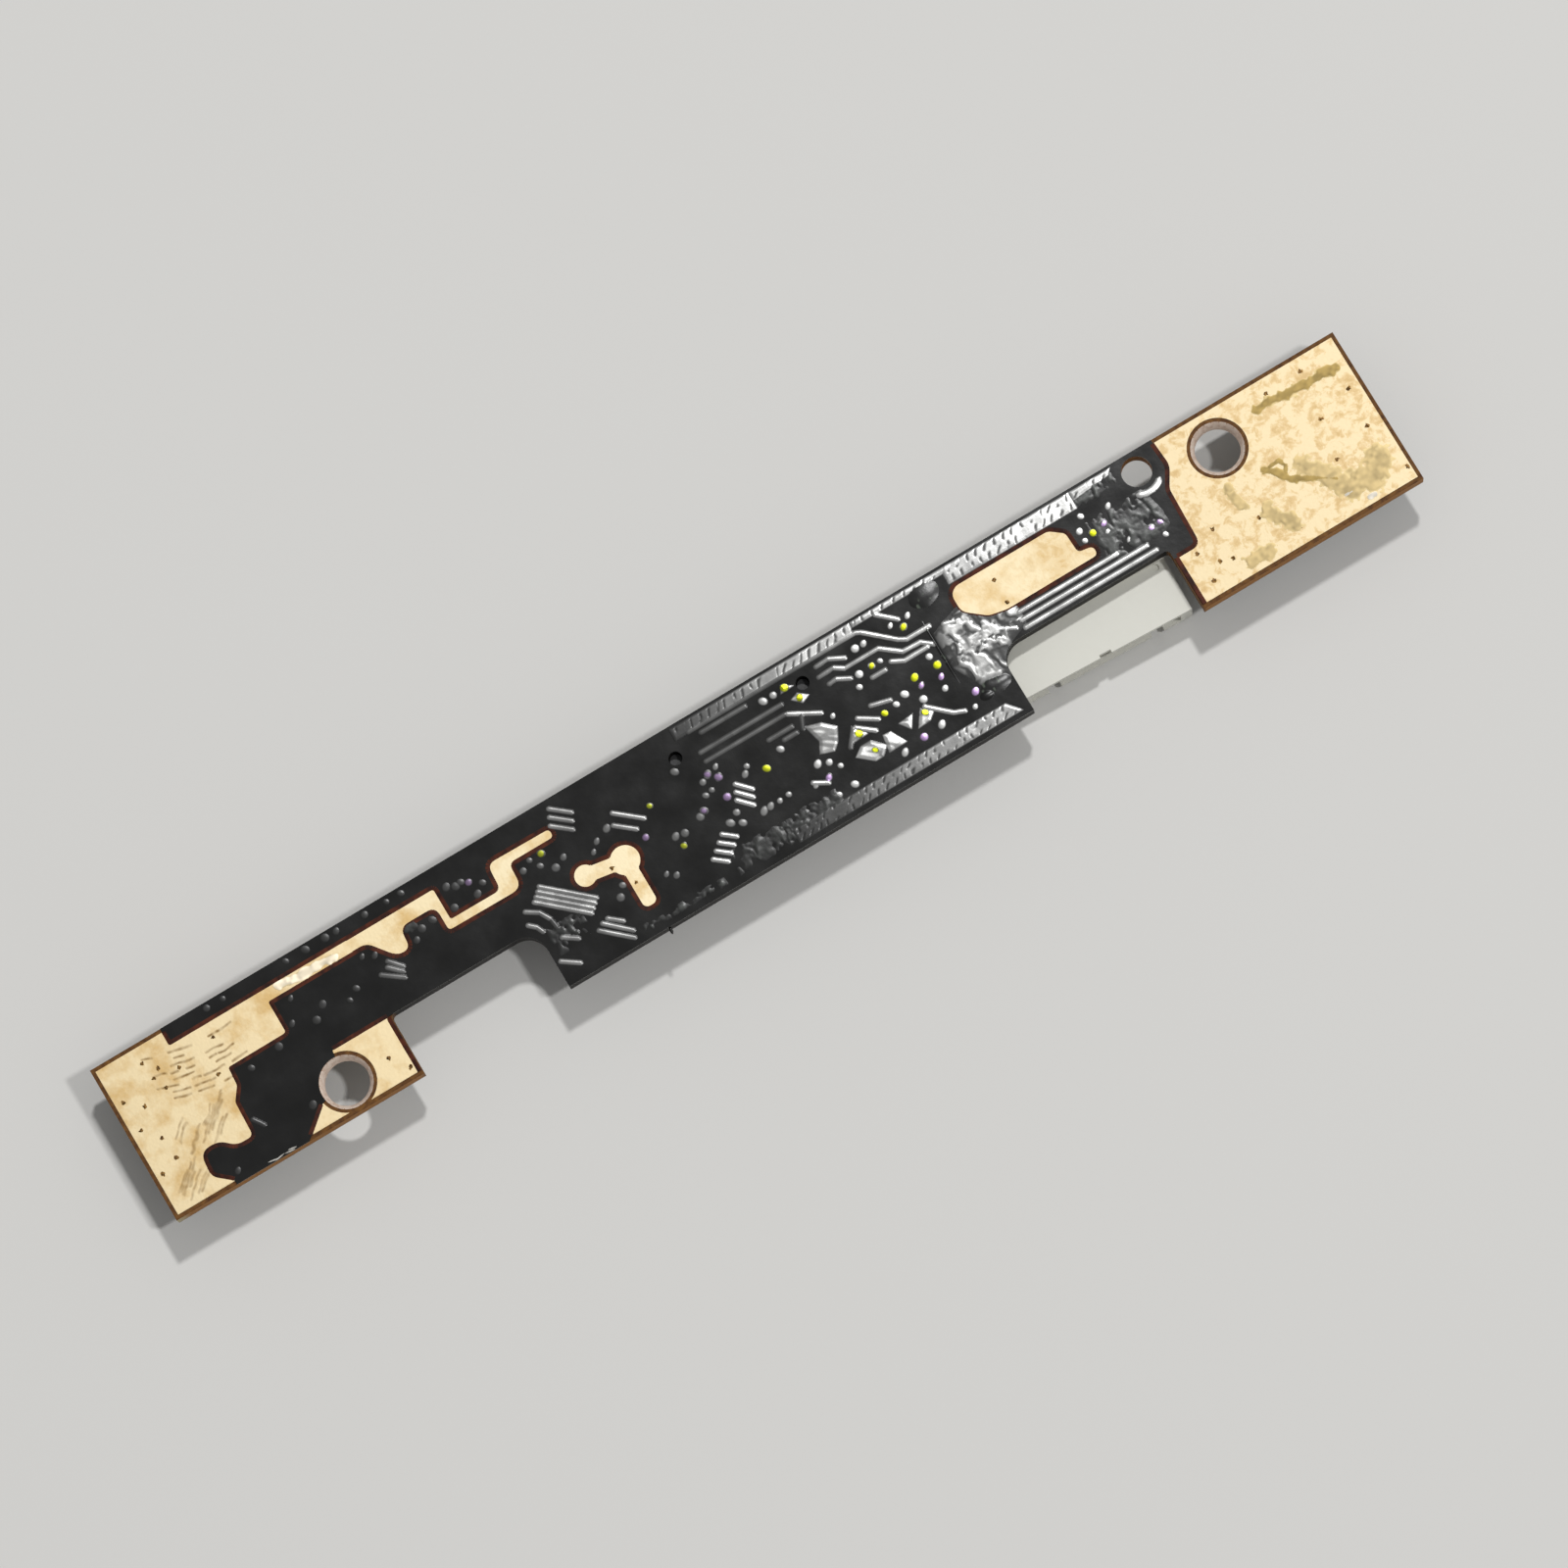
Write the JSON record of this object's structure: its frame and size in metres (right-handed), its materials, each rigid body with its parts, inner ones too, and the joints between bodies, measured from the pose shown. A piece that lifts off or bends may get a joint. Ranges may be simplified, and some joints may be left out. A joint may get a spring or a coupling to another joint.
{
  "type": "webcam module",
  "caption": "Long notched laptop camera board with bare gold ground lands and black mask on its back, and a lens module, chips and a side-entry cable connector on its front.",
  "frame": {"origin": "under the middle of the board, level with the front rim of the lens barrel that the module lies on", "axes": "+X along the board towards the connector, +Y from the notched edge to the straight edge, +Z from the lens side to the back of the board"},
  "size_m": [0.062, 0.0074, 0.0033],
  "materials": {
    "laminate": "glass-fibre epoxy laminate, sawn edges",
    "gold_plate": "immersion gold over nickel and copper",
    "black_mask": "glossy black solder mask",
    "black_plastic": "moulded black plastic",
    "lens_plastic": "coated optical plastic",
    "filter_glass": "polished coated glass",
    "silicon": "polished silicon",
    "solder": "tin plate and solder",
    "chip_epoxy": "moulded black epoxy",
    "brown_ceramic": "fired ceramic",
    "nickel_lid": "nickel-plated lid",
    "tan_ceramic": "fired tan ceramic",
    "ferrite": "sintered ferrite",
    "white_plastic": "moulded natural white nylon",
    "lamp_resin": "clear cast resin",
    "brass_can": "drawn plated can"
  },
  "bodies": {
    "root": {"board": "laminate", "back_copper": "gold_plate", "back_mask": "black_mask", "back_tracks": "black_mask", "front_mask": "black_mask", "front_pads": "gold_plate", "lens_holder": "black_plastic", "lens_barrel": "black_plastic", "front_lens": "lens_plastic", "aperture_stop": "black_plastic", "rear_lens": "lens_plastic", "lens_retainer": "black_plastic", "infrared_filter": "filter_glass", "sensor_glass": "filter_glass", "image_sensor": "silicon", "sensor_balls": "solder", "controller_body": "chip_epoxy", "controller_leads": "solder", "memory_body": "chip_epoxy", "memory_leads": "solder", "regulator_body": "chip_epoxy", "regulator_leads": "solder", "crystal_base": "brown_ceramic", "crystal_lid": "nickel_lid", "capacitor_bodies": "tan_ceramic", "capacitor_ends": "solder", "resistor_bodies": "chip_epoxy", "resistor_ends": "solder", "choke_body": "ferrite", "choke_ends": "solder", "lamp_base": "white_plastic", "lamp_lens": "lamp_resin", "microphone_base": "laminate", "microphone_can": "brass_can", "connector_housing": "white_plastic", "connector_contacts": "gold_plate", "connector_nails": "solder"}
  },
  "joints": []
}
